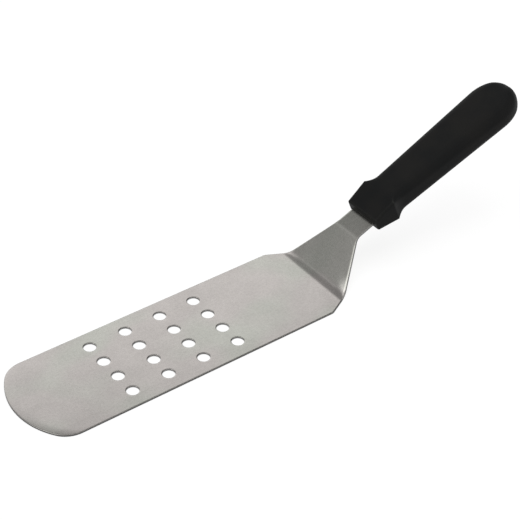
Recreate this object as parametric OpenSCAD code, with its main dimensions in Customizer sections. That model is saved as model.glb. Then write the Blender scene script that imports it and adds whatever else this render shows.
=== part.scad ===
// Grill spatula: a perforated stainless blade with a cranked neck, and a one-piece moulded grip.
// The blade is one sheet. Its tang runs down the middle of the grip, which is moulded round it
// and through its keying holes.
// +X runs from the tip of the blade to the grip and +Z is up. The origin is on the underside,
// in the middle of its width, where the bend starts that raises the neck from the flat.

/* [Blade] */
// Width across the flat
blade_width = 76; // [60:1:90]
// Length of the flat, from the tip to the heel bend
blade_length = 230.5; // [190:0.5:300]
// Thickness of the sheet
sheet_thickness = 1.2; // [0.8:0.1:2]
// Radius of the shallow arc across the tip
tip_radius = 52; // [50:1:90]
// Radius where the tip arc turns into each side
tip_corner_radius = 18; // [6:1:25]

/* [Drain holes] */
// Diameter of each hole
hole_diameter = 8.5; // [4:0.5:10]
// Holes in each line along the blade
holes_along = 4; // [1:1:5]
// Lines of holes across the blade
holes_across = 4; // [1:1:4]
// Spacing along the blade
hole_pitch_along = 27; // [14:0.5:30]
// Spacing across the blade
hole_pitch_across = 16.7; // [12:0.1:17]
// Distance from the tip to the middle of the first holes
first_hole_setback = 69; // [35:1:75]

/* [Neck] */
// Distance before the heel bend at which the sides start to taper
taper_lead = 11.2; // [4:0.2:30]
// Radius of the corner where each side starts to taper
taper_corner_radius = 5; // [1:0.5:10]
// Rise of the neck above the flat, in degrees
neck_angle = 47.5; // [35:0.5:60]
// Inside radius of the heel bend
heel_bend_radius = 9.5; // [3:0.5:12]
// Length of the straight neck between the two bends
neck_length = 30; // [25:0.5:60]
// Inside radius of the upper bend
upper_bend_radius = 11; // [3:0.5:16]
// Length over which each side of the taper blends into the tang
shoulder_blend = 3.5; // [0.5:0.5:5]

/* [Tang] */
// Width of the tang where it shows
tang_width = 22; // [14:0.5:24]
// Length of tang between the upper bend and the collar
exposed_tang = 13; // [4:0.5:30]
// Distance from the end of the taper to the collar
parallel_tang = 15; // [6:0.5:25]
// Distance from the middle of the grip down to the middle of the tang
tang_drop = 0.9; // [0:0.1:1]
// Length of tang inside the grip
hidden_tang = 96; // [84:1:112]
// Width of the tang at its end inside the grip
tang_end_width = 14; // [12:1:14]
// Radius of the two corners of the tang's end
tang_corner_radius = 5; // [1:0.5:5.5]
// Diameter of each keying hole
key_diameter = 6; // [3:0.5:7]
// Number of keying holes
key_count = 3; // [1:1:3]
// Distance from the collar's front to the first keying hole
first_key_setback = 24; // [12:1:30]
// Spacing of the keying holes
key_pitch = 27; // [12:1:30]

/* [Grip] */
// Rise of the tang and grip above the flat, in degrees
grip_angle = 22.6; // [10:0.2:30]
// Length of the moulding, collar included
grip_length = 141.5; // [125:0.5:170]
// Width where the grip is narrowest
waist_width = 26.8; // [24:0.2:40]
// Height where the grip is narrowest
waist_height = 19.6; // [14:0.2:30]
// Width where the rounding of the butt starts
butt_width = 35.8; // [26:0.2:50]
// Height where the rounding of the butt starts
butt_height = 19.6; // [14:0.2:30]
// Length over which the butt rounds off, seen from above
butt_rounding = 23.4; // [10:0.2:30]
// Length over which the butt rounds off, seen from the side
butt_edge_rounding = 8.6; // [4:0.2:9.4]
// Radius of the grip's long edges at the waist
waist_edge_radius = 6; // [2:0.5:7]
// Radius of the grip's long edges at the butt
butt_edge_radius = 8; // [2:0.5:9]

/* [Collar] */
// Length of the flared collar
collar_length = 17.4; // [8:0.2:25]
// Length behind the collar over which the grip draws in to its waist
waist_run = 9.4; // [4:0.2:20]
// Width of the collar's front
collar_front_width = 30; // [27:0.2:40]
// Height of the collar's front
collar_front_height = 9.8; // [8:0.2:20]
// Width of the collar's rear
collar_rear_width = 31.8; // [27:0.2:45]
// Height of the collar's rear
collar_rear_height = 18.4; // [8:0.2:30]
// Radius of the collar's long edges
collar_edge_radius = 1.5; // [0.5:0.1:2.5]
// Rounding of the collar's front edge
collar_nose = 0.8; // [0.3:0.1:1.5]

/* [Fit] */
// Gap all round between the tang and the moulding
moulding_gap = 0.05; // [0.02:0.01:0.3]

/* [Hidden] */

$fn = 128;
tip_fn = 360;             // for the long arc across the tip
overrun = 1;              // how far cutters pass what they cut, and joined stretches overlap
corner_steps = 6;         // segments in each rounded corner of the sheet
heel_steps = 16;
upper_steps = 8;
edge_steps = 8;           // segments in each rounded long edge of the grip
nose_steps = 3;
collar_steps = 2;
waist_steps = 8;
shaft_steps = 12;
butt_steps = 16;
butt_end_share = 0.996;   // share of the rounding at which the butt is closed flat
edge_limit = 0.94;        // largest edge radius, as a share of the half height
station_gap = 0.05;       // least distance between two sections of the sheet

half_width = blade_width / 2;
half_tang = tang_width / 2;
upper_bend_angle = neck_angle - grip_angle;

// Distances along the middle of the sheet, from the start of the heel bend
heel_end = (heel_bend_radius + sheet_thickness / 2) * neck_angle * PI / 180;
neck_end = heel_end + neck_length;
upper_end = neck_end + (upper_bend_radius + sheet_thickness / 2) * upper_bend_angle * PI / 180;
collar_front = upper_end + exposed_tang;
tang_end = collar_front + hidden_tang;

// Each side of the taper is one straight line on the flat sheet, and is bent with it
taper_end = collar_front - parallel_tang;
taper_angle = atan((half_width - half_tang) / (taper_lead + taper_end));
taper_start = -taper_lead - taper_corner_radius * tan(taper_angle / 2);
taper_corner_end = taper_start + taper_corner_radius * sin(taper_angle);
shoulder_radius = shoulder_blend / tan(taper_angle / 2);
shoulder_start = taper_end - shoulder_blend * cos(taper_angle);
shoulder_end = taper_end + shoulder_blend;

waist_position = collar_length + waist_run;
butt_position = grip_length - butt_rounding;

function blend(from, to, share) = from + (to - from) * share;

function clamp(value, low, high) = min(high, max(low, value));

function arc_points(centre, radius, from, to, steps) =
    [
        for (i = [0:steps])
            let (angle = blend(from, to, i / steps))
            centre + radius * [cos(angle), sin(angle)]
    ];

// Where a place [x, z, angle] gets to along a line or an arc of the given length and turn
function advance(place, length, turn) =
    let (
        half = turn / 2,
        chord = half == 0 ? length : length * sin(half) / (half * PI / 180),
        heading = place.z + half
    )
    [place.x + chord * cos(heading), place.y + chord * sin(heading), place.z + turn];

// Place of the middle of the bent sheet at a distance along it
function sheet_place(distance) =
    let (
        in_heel = clamp(distance, 0, heel_end),
        in_neck = clamp(distance, heel_end, neck_end) - heel_end,
        in_upper = clamp(distance, neck_end, upper_end) - neck_end,
        flat = [min(distance, 0), sheet_thickness / 2, 0],
        heel = advance(flat, in_heel, neck_angle * in_heel / heel_end),
        neck = advance(heel, in_neck, 0),
        upper = advance(neck, in_upper, -upper_bend_angle * in_upper / (upper_end - neck_end))
    )
    advance(upper, max(0, distance - upper_end), 0);

// Section across the bent sheet, grown by a clearance above and below
function sheet_section(distance, half, clearance) =
    let (
        place = sheet_place(distance),
        rise = (sheet_thickness / 2 + clearance) * [-sin(place.z), cos(place.z)]
    )
    [
        for (corner = [[1, -1], [1, 1], [-1, 1], [-1, -1]])
            [place.x + corner.y * rise.x, corner.x * half, place.y + corner.y * rise.y]
    ];

// Half the sheet's width at a distance, from the flat to the collar
function sheet_half_width(distance) =
    distance <= taper_start ? half_width
    : distance < taper_corner_end ?
        half_width - taper_corner_radius
        + sqrt(pow(taper_corner_radius, 2) - pow(distance - taper_start, 2))
    : distance < shoulder_start ? half_width - (distance + taper_lead) * tan(taper_angle)
    : distance < shoulder_end ?
        half_tang + shoulder_radius
        - sqrt(pow(shoulder_radius, 2) - pow(shoulder_end - distance, 2))
    : half_tang;

// Values in rising order, without those that lie too close to one given earlier
function spaced(values) =
    len(values) == 0 ? []
    : concat(
        spaced([for (value = values) if (value <= values[0] - station_gap) value]),
        [values[0]],
        spaced([for (value = values) if (value >= values[0] + station_gap) value])
    );

// Distances at which the sheet has a section, from just before the taper's start to the tang
sheet_stations = spaced(concat(
    [taper_start - overrun, taper_start, neck_end, upper_end],
    [for (i = [0:heel_steps]) heel_end * i / heel_steps],
    [for (i = [1:upper_steps - 1]) blend(neck_end, upper_end, i / upper_steps)],
    [for (i = [1:corner_steps]) taper_start + taper_corner_radius * sin(taper_angle * i / corner_steps)],
    [for (i = [0:corner_steps]) shoulder_end - shoulder_radius * sin(taper_angle * i / corner_steps)]
));

// Half the sheet's width as points [distance, half width] at those stations
taper_side = [for (distance = sheet_stations) [distance, sheet_half_width(distance)]];

// Half the tang's width from the collar on, grown by a clearance
function tang_side(clearance = 0) =
    concat(
        [[collar_front + collar_nose, half_tang + clearance]],
        arc_points(
            [tang_end - tang_corner_radius, tang_end_width / 2 - tang_corner_radius],
            tang_corner_radius + clearance, 90, 0, corner_steps
        )
    );

// Share of its size that a section keeps, where the grip's end rounds off over a length
function end_rounding(s, length) =
    let (past = max(0, s - (grip_length - length)) / length) sqrt(1 - past * past);

// How far the collar's front edge draws in
function nose_inset(s) =
    let (ahead = max(0, 1 - s / collar_nose)) collar_nose * (1 - sqrt(1 - ahead * ahead));

// A size of the grip at a distance from its front, from its four driving sizes
function grip_size(s, front, rear, waist, butt) =
    s <= collar_length ? blend(front, rear, s / collar_length)
    : s <= waist_position ? blend(waist, rear, pow(1 - (s - collar_length) / waist_run, 2))
    : blend(waist, butt, (s - waist_position) / (butt_position - waist_position));

function grip_half_width(s) =
    grip_size(s, collar_front_width, collar_rear_width, waist_width, butt_width) / 2
    * end_rounding(s, butt_rounding) - nose_inset(s);

function grip_half_height(s) =
    grip_size(s, collar_front_height, collar_rear_height, waist_height, butt_height) / 2
    * end_rounding(s, butt_edge_rounding) - nose_inset(s);

function grip_edge_radius(s) =
    grip_size(s, collar_edge_radius, collar_edge_radius, waist_edge_radius, butt_edge_radius);

// Points of a rectangle with round corners, across the grip at one station
function grip_section(s) =
    let (
        w = grip_half_width(s),
        h = grip_half_height(s),
        r = min(grip_edge_radius(s), edge_limit * min(w, h)),
        corners = [[1, 1], [-1, 1], [-1, -1], [1, -1]]
    )
    [
        for (quarter = [0:3], point = arc_points([0, 0], r, 90 * quarter, 90 * quarter + 90, edge_steps))
            [s, corners[quarter].x * (w - r) + point.x, corners[quarter].y * (h - r) + point.y]
    ];

// Distances from the collar's front at which the grip has a section
grip_stations = concat(
    [for (i = [0:nose_steps - 1]) collar_nose * (1 - cos(90 * i / nose_steps))],
    [for (i = [0:collar_steps - 1]) blend(collar_nose, collar_length, i / collar_steps)],
    [for (i = [0:waist_steps - 1]) collar_length + waist_run * i / waist_steps],
    [for (i = [0:shaft_steps - 1]) blend(waist_position, butt_position, i / shaft_steps)],
    [for (i = [0:butt_steps - 1]) butt_position + butt_rounding * sin(90 * i / butt_steps)],
    [butt_position + butt_rounding * butt_end_share]
);

// Solid through a row of rings. Each ring has as many points, which run anticlockwise as seen
// from the row's far end.
module loft(rings) {
    count = len(rings[0]);
    last = len(rings) - 1;
    sides = [
        for (i = [0:last - 1], j = [0:count - 1])
            let (a = i * count + j, b = i * count + (j + 1) % count)
            each [[a, b + count, b], [a, a + count, b + count]]
    ];
    front = [for (j = [0:count - 1]) j];
    back = [for (j = [0:count - 1]) (last + 1) * count - 1 - j];
    polyhedron(points = [for (ring = rings) each ring], faces = concat(sides, [front, back]));
}

// Sheet that follows the bends, between its two sides
module bent_sheet(side, clearance = 0) {
    loft([for (point = side) sheet_section(point.x, point.y, clearance)]);
}

// Outline of the flat up to the taper: the arc across the tip, its two corners and the sides
module flat_outline() {
    corner_y = half_width - tip_corner_radius;
    arc_x = tip_radius - blade_length;
    corner_dx = sqrt(pow(tip_radius - tip_corner_radius, 2) - pow(corner_y, 2));
    corner_x = arc_x - corner_dx;
    reach = 2 * tip_radius / (tip_radius - tip_corner_radius);
    intersection() {
        translate([arc_x, 0]) circle(tip_radius, $fn = tip_fn);
        polygon([
            [arc_x, 0],
            [arc_x - corner_dx * reach, corner_y * reach],
            [arc_x - corner_dx * reach, -corner_y * reach]
        ]);
    }
    for (side = [-1, 1])
        translate([corner_x, side * corner_y]) circle(tip_corner_radius);
    polygon([
        [corner_x, half_width],
        [taper_start, half_width],
        [taper_start, -half_width],
        [corner_x, -half_width]
    ]);
}

module drain_holes() {
    span = hole_pitch_across * (holes_across - 1);
    for (i = [0:holes_along - 1], j = [0:holes_across - 1])
        translate([
            first_hole_setback - blade_length + i * hole_pitch_along,
            j * hole_pitch_across - span / 2,
            -overrun
        ])
            cylinder(d = hole_diameter, h = sheet_thickness + 2 * overrun);
}

// Frame of the tang: its origin is in the middle of the sheet where the collar's front lies, and
// its X axis runs along the tang
module tang_frame() {
    place = sheet_place(collar_front);
    translate([place.x, 0, place.y]) rotate([0, -place.z, 0]) children();
}

// Cylinders through the keying holes, thinner than the holes by a clearance all round
module key_pegs(clearance = 0) {
    height = sheet_thickness + 2 * overrun;
    for (i = [0:key_count - 1])
        translate([first_key_setback + i * key_pitch, 0, -height / 2])
            cylinder(d = key_diameter - 2 * clearance, h = height);
}

// One sheet: perforated flat, heel bend, tapering neck, upper bend and tang
module blade() {
    color([0.74, 0.74, 0.72])
        difference() {
            union() {
                linear_extrude(sheet_thickness) flat_outline();
                bent_sheet(concat(taper_side, tang_side()));
            }
            drain_holes();
            tang_frame() key_pegs();
        }
}

// Collar and grip in one moulding, with the tang's pocket and the pegs that fill its keying holes
module grip() {
    mouth = [collar_front - overrun, half_tang + moulding_gap];
    color([0.11, 0.11, 0.11])
        difference() {
            tang_frame() translate([0, 0, tang_drop]) loft([for (s = grip_stations) grip_section(s)]);
            difference() {
                bent_sheet(concat([mouth], tang_side(moulding_gap)), moulding_gap);
                tang_frame() key_pegs(moulding_gap);
            }
        }
}

blade();
grip();
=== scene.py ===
from math import radians

import bpy
from mathutils import Euler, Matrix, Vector


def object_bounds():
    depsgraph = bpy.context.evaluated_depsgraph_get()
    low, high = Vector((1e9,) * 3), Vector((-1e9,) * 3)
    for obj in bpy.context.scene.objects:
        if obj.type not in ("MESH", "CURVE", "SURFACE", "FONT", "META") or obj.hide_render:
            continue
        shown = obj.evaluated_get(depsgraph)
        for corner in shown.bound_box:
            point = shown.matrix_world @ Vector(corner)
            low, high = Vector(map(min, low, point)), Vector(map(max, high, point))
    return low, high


# Grill spatula: the CAD blade and grip with satin steel and moulded plastic, in a plain studio.
# Metres, in the CAD frame: +X runs from the blade's tip to the grip and +Z is up.
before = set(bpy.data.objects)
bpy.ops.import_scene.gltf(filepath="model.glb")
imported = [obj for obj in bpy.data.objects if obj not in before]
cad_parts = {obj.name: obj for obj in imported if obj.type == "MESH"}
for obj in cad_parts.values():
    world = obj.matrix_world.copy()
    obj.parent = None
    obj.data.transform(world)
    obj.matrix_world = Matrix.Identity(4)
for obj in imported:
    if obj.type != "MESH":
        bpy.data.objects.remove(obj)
cad_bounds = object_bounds()

MM = 0.001
WHITE = (1.0, 1.0, 1.0, 1.0)

# Rolled sheet: two faint tints; the dark colours of the sheared outer edges and the walls of the punched
# holes are painted shade, standing in for the dark surroundings these faces reflect
WARM_STEEL = (0.567, 0.534, 0.513, 1.0)
COOL_STEEL = (0.550, 0.552, 0.508, 1.0)
OUTER_CUT_PAINTED_SHADE = (0.10, 0.097, 0.094, 1.0)
HOLE_WALL_PAINTED_SHADE = (0.20, 0.195, 0.190, 1.0)

# Moulded plastic: two near blacks, and the paler tone painted on its edges as a highlight
BLACK_PLASTIC = (0.0110, 0.0114, 0.0116, 1.0)
GREY_PLASTIC = (0.0140, 0.0138, 0.0132, 1.0)
PLASTIC_EDGE_HIGHLIGHT = (0.034, 0.035, 0.032, 1.0)

# Radii over which the edges look rounded
STEEL_ROUNDING = 1.15 * MM
PLASTIC_ROUNDING = 2.2 * MM

# Arc across the blade's tip
TIP_CENTRE = Vector((-178.5, 0.0, 0.0)) * MM
TIP_RADIUS = 52.0 * MM

# Directions from the tool to what it reflects
DARK_SIDE = (0.85, 0.05, 0.53)
DIM_SIDE = (-0.72, 0.66, 0.20)
OVERHEAD = (0.0, 0.0, 1.0)
LOW_LAMP = (-0.85, 0.05, 0.52)
HIGH_LAMP = (-0.50, 0.10, 0.86)


def half_width_at(low, high):
    """(height, half width) of the blade's widest vertex between two heights."""
    corners = [v.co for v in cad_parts["blade"].data.vertices if low < v.co.z < high]
    widest = max(corners, key=lambda corner: corner.y)
    return widest.z, widest.y


NECK_FOOT = half_width_at(4.1 * MM, 8.0 * MM)
NECK_TOP = half_width_at(26.0 * MM, 27.0 * MM)

# ---------------------------------------------------------------- node helpers


def new_material(name):
    """An empty node material. Returns it with its tree."""
    material = bpy.data.materials.new(name)
    material.use_nodes = True
    material.node_tree.nodes.clear()
    return material, material.node_tree


def add(tree, kind, inputs=None, **settings):
    """One node, with its settings and its input values. An input that is a socket gets linked."""
    node = tree.nodes.new(kind)
    for key, value in settings.items():
        setattr(node, key, value)
    for key, value in (inputs or {}).items():
        if isinstance(value, bpy.types.NodeSocket):
            tree.links.new(value, node.inputs[key])
        else:
            node.inputs[key].default_value = value
    return node


def maths(tree, operation, first, second=0.0):
    return add(tree, "ShaderNodeMath", {0: first, 1: second}, operation=operation).outputs["Value"]


def product(tree, first, *others):
    for other in others:
        first = maths(tree, "MULTIPLY", first, other)
    return first


def multiply_add(tree, value, factor, offset):
    inputs = {0: value, 1: factor, 2: offset}
    return add(tree, "ShaderNodeMath", inputs, operation="MULTIPLY_ADD").outputs["Value"]


def ramp(tree, value, low, high, to_low=0.0, to_high=1.0):
    """Value taken from the range low..high to to_low..to_high, with a smooth start and end."""
    inputs = {"Value": value, "From Min": low, "From Max": high, "To Min": to_low, "To Max": to_high}
    node = add(tree, "ShaderNodeMapRange", inputs, interpolation_type="SMOOTHSTEP")
    return node.outputs["Result"]


def vector(tree, operation, first, second=(0.0, 0.0, 0.0)):
    node = add(tree, "ShaderNodeVectorMath", {0: first, 1: second}, operation=operation)
    return node.outputs["Vector"]


def scaled(tree, value, factor):
    node = add(tree, "ShaderNodeVectorMath", {0: value, "Scale": factor}, operation="SCALE")
    return node.outputs["Vector"]


def dot(tree, first, second):
    node = add(tree, "ShaderNodeVectorMath", {0: first, 1: second}, operation="DOT_PRODUCT")
    return node.outputs["Value"]


def parts(tree, value):
    """The X, Y and Z of a vector."""
    return add(tree, "ShaderNodeSeparateXYZ", {"Vector": value}).outputs


def noise(tree, place, scale, detail=2.0, roughness=0.5):
    inputs = {"Vector": place, "Scale": scale, "Detail": detail, "Roughness": roughness}
    return add(tree, "ShaderNodeTexNoise", inputs).outputs["Fac"]


def mix_colours(tree, share, first, second):
    node = add(tree, "ShaderNodeMix", data_type="RGBA")
    for key, value in (("Factor", share), ("A", first), ("B", second)):
        socket = next(s for s in node.inputs if s.name == key and s.enabled)
        if isinstance(value, bpy.types.NodeSocket):
            tree.links.new(value, socket)
        else:
            socket.default_value = value
    return next(s for s in node.outputs if s.enabled)


def mix_values(tree, share, first, second):
    node = add(tree, "ShaderNodeMix", {0: share, 2: first, 3: second}, data_type="FLOAT")
    return node.outputs[0]


def object_place(tree):
    return add(tree, "ShaderNodeTexCoord").outputs["Object"]


def true_normal(tree):
    return add(tree, "ShaderNodeNewGeometry").outputs["True Normal"]


def rounded_normal(tree, radius):
    return add(tree, "ShaderNodeBevel", {"Radius": radius}, samples=8).outputs["Normal"]


def bumped(tree, strength, distance, height, normal):
    inputs = {"Strength": strength, "Distance": distance, "Height": height, "Normal": normal}
    return add(tree, "ShaderNodeBump", inputs).outputs["Normal"]


def finish_surface(tree, inputs):
    """Ends a material in one principled shader."""
    shader = add(tree, "ShaderNodeBsdfPrincipled", inputs)
    add(tree, "ShaderNodeOutputMaterial", {"Surface": shader.outputs["BSDF"]})


# ---------------------------------------------------------------- steel


def cut_edge(tree):
    """1 on the sheet's cut edges and hole walls, which are steeper than any of its bent faces; it sets
    their rougher finish and their painted shade.
    """
    upright = parts(tree, true_normal(tree))["Z"]
    return ramp(tree, maths(tree, "ABSOLUTE", upright), 0.45, 0.60, 1.0, 0.0)


def neck_half_width(tree, height):
    """Half the neck's width at a height, on the straight line between its foot and its top."""
    foot, top = NECK_FOOT, NECK_TOP
    slope = (top[1] - foot[1]) / (top[0] - foot[0])
    return multiply_add(tree, height, slope, foot[1] - slope * foot[0])


def flank_lean(tree, place):
    """Outward lean of the neck's two flanks: a narrow rolled rim and a wide sag above the heel."""
    split = parts(tree, place)
    height, across = split["Z"], split["Y"]
    inset = maths(tree, "SUBTRACT", neck_half_width(tree, height), maths(tree, "ABSOLUTE", across))
    above_heel = ramp(tree, height, 1.0 * MM, 3.0 * MM)
    below_tang = ramp(tree, height, 24 * MM, 27 * MM, 1.0, 0.0)

    rim_lean = ramp(tree, height, 4 * MM, 26 * MM, 0.155, 0.072)
    rim = product(tree, ramp(tree, inset, 0.6 * MM, 2.4 * MM, 1.0, 0.0), rim_lean)
    sag_share = ramp(tree, height, 4 * MM, 12 * MM, 1.0, 0.1)
    sag = product(tree, ramp(tree, inset, 0.0, 12 * MM, 0.14, 0.0), sag_share)

    side = maths(tree, "SIGN", across)
    lean = product(tree, maths(tree, "ADD", rim, sag), above_heel, below_tang, side)
    return add(tree, "ShaderNodeCombineXYZ", {"Y": lean}).outputs["Vector"]


def heel_lean(tree, place):
    """Lean back towards the tip where the heel's bend starts, because a real bend starts softly."""
    steepest = -0.08
    along = parts(tree, place)["X"]
    start = ramp(tree, along, -2.0 * MM, 0.5 * MM)
    end = ramp(tree, along, 2.5 * MM, 5.0 * MM, 1.0, 0.0)
    lean = product(tree, start, end, steepest)
    return add(tree, "ShaderNodeCombineXYZ", {"X": lean}).outputs["Vector"]


def tip_lean(tree, place):
    """Outward lean of the tip's last few millimetres, as if they were ground a little thinner."""
    width, steepest = 8 * MM, 0.04
    outward = vector(tree, "SUBTRACT", place, TIP_CENTRE)
    reach = add(tree, "ShaderNodeVectorMath", {0: outward}, operation="LENGTH").outputs["Value"]
    edge = ramp(tree, reach, TIP_RADIUS - width, TIP_RADIUS, 0.0, steepest)
    near_tip = ramp(tree, parts(tree, place)["X"], -208 * MM, -200 * MM, 1.0, 0.0)
    level = vector(tree, "MULTIPLY", vector(tree, "NORMALIZE", outward), (1.0, 1.0, 0.0))
    return scaled(tree, level, product(tree, edge, near_tip))


def sheet_normal(tree, place):
    """Normal that turns softly at the sheet's edges and leans a little near its bend and its rims.

    A sheet that is cut, bent and tumbled has no sharp edges, and its flanks sag as it is bent.
    """
    normal = rounded_normal(tree, STEEL_ROUNDING)
    for lean in (flank_lean, heel_lean, tip_lean):
        normal = vector(tree, "ADD", normal, lean(tree, place))
    return vector(tree, "NORMALIZE", normal)


def steel_face(tree, place, speckle):
    """Colour of the rolled faces: warm and cool patches on the flat, clouds and a fine speckle."""
    clouds = noise(tree, place, 32.0, 4.0, 0.6)
    patches = noise(tree, vector(tree, "MULTIPLY", place, (1.0, 1.4, 1.0)), 17.0, 1.0, 0.5)
    flat_only = ramp(tree, parts(tree, place)["Z"], 1.5 * MM, 6 * MM, 1.0, 0.3)
    warmth = product(tree, ramp(tree, patches, 0.34, 0.56), flat_only)
    tint = mix_colours(tree, warmth, COOL_STEEL, WARM_STEEL)
    cloudy = ramp(tree, clouds, 0.30, 0.70, 0.965, 1.06)
    speckled = ramp(tree, speckle, 0.3, 0.7, -0.055, 0.055)
    return scaled(tree, tint, maths(tree, "ADD", cloudy, speckled))


def cut_faces_painted_shade(tree, place):
    """Painted shade on the cut faces: dark colours for the hole walls inside the blade's outline and for
    its outer edges, standing in for the dark surroundings they reflect.
    """
    split = parts(tree, place)
    between_sides = ramp(tree, maths(tree, "ABSOLUTE", split["Y"]), 30 * MM, 34 * MM, 1.0, 0.0)
    behind_tip = ramp(tree, split["X"], -218 * MM, -214 * MM)
    return mix_colours(tree, product(tree, between_sides, behind_tip), OUTER_CUT_PAINTED_SHADE, HOLE_WALL_PAINTED_SHADE)


def satin_steel():
    """Rolled stainless sheet with a satin grain along the tool, faint clouds, and cut edges that are
    rougher and painted dark as shade.
    """
    material, tree = new_material("satin_steel")
    place = object_place(tree)
    grain = noise(tree, vector(tree, "MULTIPLY", place, (90.0, 2200.0, 90.0)), 1.0, 3.0, 0.6)
    speckle = noise(tree, place, 650.0, 3.0, 0.7)
    cut = cut_edge(tree)

    roughness = multiply_add(tree, cut, 0.15, multiply_add(tree, grain, 0.08, 0.17))
    relief = multiply_add(tree, speckle, 0.5, grain)
    finish_surface(
        tree,
        {
            # Base colour: the cut faces take painted shade in place of the steel's own colour
            "Base Color": mix_colours(tree, cut, steel_face(tree, place, speckle), cut_faces_painted_shade(tree, place)),
            "Metallic": 1.0,
            "Roughness": roughness,
            "Normal": bumped(tree, 0.3, 0.02 * MM, relief, sheet_normal(tree, place)),
        },
    )
    return material


# ---------------------------------------------------------------- plastic


def moulded_plastic():
    """Black nylon with the fine spark texture of a mould, an uneven sheen and a painted highlight along
    its edges.
    """
    material, tree = new_material("moulded_plastic")
    place = object_place(tree)
    texture = noise(tree, place, 2600.0, 2.0, 0.6)
    clouds = noise(tree, place, 45.0, 2.0, 0.5)

    rounded = rounded_normal(tree, PLASTIC_ROUNDING)
    # Painted highlight: a paler colour where the rounded normal turns away from the facet, which is along
    # the edges
    painted_edge_highlight = ramp(tree, dot(tree, rounded, true_normal(tree)), 0.95, 0.999, 1.0, 0.0)
    colour = mix_colours(tree, ramp(tree, clouds, 0.35, 0.65), BLACK_PLASTIC, GREY_PLASTIC)
    finish_surface(
        tree,
        {
            "Base Color": mix_colours(tree, painted_edge_highlight, colour, PLASTIC_EDGE_HIGHLIGHT),
            "Roughness": multiply_add(tree, clouds, 0.10, 0.45),
            "Specular IOR Level": 0.05,
            "Normal": bumped(tree, 0.3, 0.03 * MM, texture, rounded),
        },
    )
    return material


def assign(node_name, material):
    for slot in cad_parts[node_name].material_slots:
        slot.material = material


assign("blade", satin_steel())
assign("grip", moulded_plastic())

# ---------------------------------------------------------------- studio


def seen_directly(tree):
    """1 for a ray from the camera, a reflection or a transmission, and 0 for diffuse light."""
    path = add(tree, "ShaderNodeLightPath").outputs
    either = maths(tree, "MAXIMUM", path["Is Camera Ray"], path["Is Glossy Ray"])
    return maths(tree, "MAXIMUM", either, path["Is Transmission Ray"])


def floor_paper():
    """Paper that shows white but sends little light back up under the tool."""
    material, tree = new_material("floor_paper")
    paper = add(tree, "ShaderNodeBsdfDiffuse", {"Color": (0.25, 0.25, 0.25, 1.0)})
    lift = product(tree, seen_directly(tree), 0.80)
    glow = add(tree, "ShaderNodeEmission", {"Color": WHITE, "Strength": lift})
    both = add(tree, "ShaderNodeAddShader", {0: paper.outputs["BSDF"], 1: glow.outputs["Emission"]})
    add(tree, "ShaderNodeOutputMaterial", {"Surface": both.outputs["Shader"]})
    return material


def floor():
    """A large pale floor, just under the tool, that keeps its shadow."""
    half, clearance = 3.0, 0.02 * MM
    corners = [(-half, -half, 0), (half, -half, 0), (half, half, 0), (-half, half, 0)]
    mesh = bpy.data.meshes.new("floor")
    mesh.from_pydata(corners, [], [(0, 1, 2, 3)])
    mesh.materials.append(floor_paper())
    plane = bpy.data.objects.new("floor", mesh)
    plane.location.z = cad_bounds[0][2] - clearance
    bpy.context.scene.collection.objects.link(plane)


def facing(tree, direction, towards, low, high):
    """0 to 1 as a direction turns towards a given one, between two cosines."""
    return ramp(tree, dot(tree, direction, Vector(towards).normalized()), low, high)


def darkened(tree, room, where, depth):
    """The room's brightness, lowered by up to a depth in one direction."""
    return product(tree, room, multiply_add(tree, where, -depth, 1.0))


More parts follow.
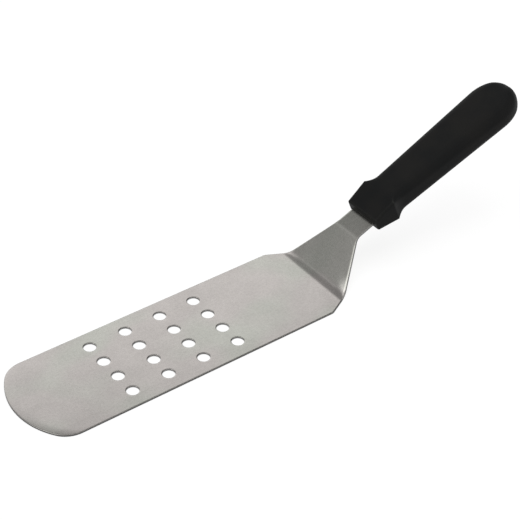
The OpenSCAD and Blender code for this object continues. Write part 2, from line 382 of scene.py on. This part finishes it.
def reflected_room(tree, direction):
    """Brightness of the room that metal and plastic reflect: pale walls under a dimmer ceiling."""
    wall_level, ceiling_level = 0.74, 0.25
    wall = ramp(tree, parts(tree, direction)["Z"], 0.69, 0.75, 1.0, 0.0)
    dark_side = facing(tree, direction, DARK_SIDE, 0.79, 0.91)
    dim_side = product(tree, facing(tree, direction, DIM_SIDE, 0.60, 0.92), wall)
    room = multiply_add(tree, wall, wall_level, ceiling_level)
    room = darkened(tree, room, dark_side, 0.9)
    room = darkened(tree, room, dim_side, 0.64)

    overhead = facing(tree, direction, OVERHEAD, 0.85, 0.98)
    low_lamp = product(tree, facing(tree, direction, LOW_LAMP, 0.87, 0.98), 0.92)
    lamps = multiply_add(tree, facing(tree, direction, HIGH_LAMP, 0.92, 0.99), 0.55, low_lamp)
    return maths(tree, "ADD", multiply_add(tree, overhead, 0.2, room), lamps)


def studio_world():
    """White to the eye, even for diffuse light, and a plain room for reflections."""
    diffuse_level = 0.65
    world = bpy.data.worlds.new("studio")
    bpy.context.scene.world = world
    world.use_nodes = True
    tree = world.node_tree
    tree.nodes.clear()
    path = add(tree, "ShaderNodeLightPath").outputs
    direction = add(tree, "ShaderNodeTexCoord").outputs["Generated"]
    reflected = maths(tree, "MAXIMUM", path["Is Glossy Ray"], path["Is Transmission Ray"])
    unseen = mix_values(tree, reflected, diffuse_level, reflected_room(tree, direction))
    strength = mix_values(tree, path["Is Camera Ray"], unseen, 1.0)
    light = add(tree, "ShaderNodeBackground", {"Color": WHITE, "Strength": strength})
    add(tree, "ShaderNodeOutputWorld", {"Surface": light.outputs["Background"]})


def key_lamp():
    """A softbox above the tool, aimed at the heel. It isn't seen in reflections."""
    place = Vector((0.0, -0.1, 1.5))
    lamp = bpy.data.lights.new("key", "AREA")
    lamp.shape = "RECTANGLE"
    lamp.size = lamp.size_y = 1.2
    lamp.energy = 9.0
    holder = bpy.data.objects.new("key", lamp)
    holder.location = place
    holder.rotation_euler = (-place).to_track_quat("-Z", "Y").to_euler()
    holder.visible_glossy = False
    bpy.context.scene.collection.objects.link(holder)


def camera():
    """Looks down the length of the tool from its left, at the photograph's angle."""
    azimuth, elevation, roll = radians(-38.12), radians(37.72), radians(1.82)
    distance = 1.00876
    aim = Vector((-44.8, 0.0, 35.75)) * MM
    tilt = Euler((radians(90) - elevation, 0.0, azimuth)).to_matrix()
    turn = tilt @ Euler((0.0, 0.0, roll)).to_matrix()
    data = bpy.data.cameras.new("camera")
    data.sensor_width = 36.0
    data.lens = 106.76
    holder = bpy.data.objects.new("camera", data)
    holder.matrix_world = turn.to_4x4()
    holder.location = aim + turn @ Vector((0.0, 0.0, distance))
    bpy.context.scene.collection.objects.link(holder)
    bpy.context.scene.camera = holder


floor()
studio_world()
key_lamp()
camera()
bpy.context.scene.view_settings.view_transform = "Standard"
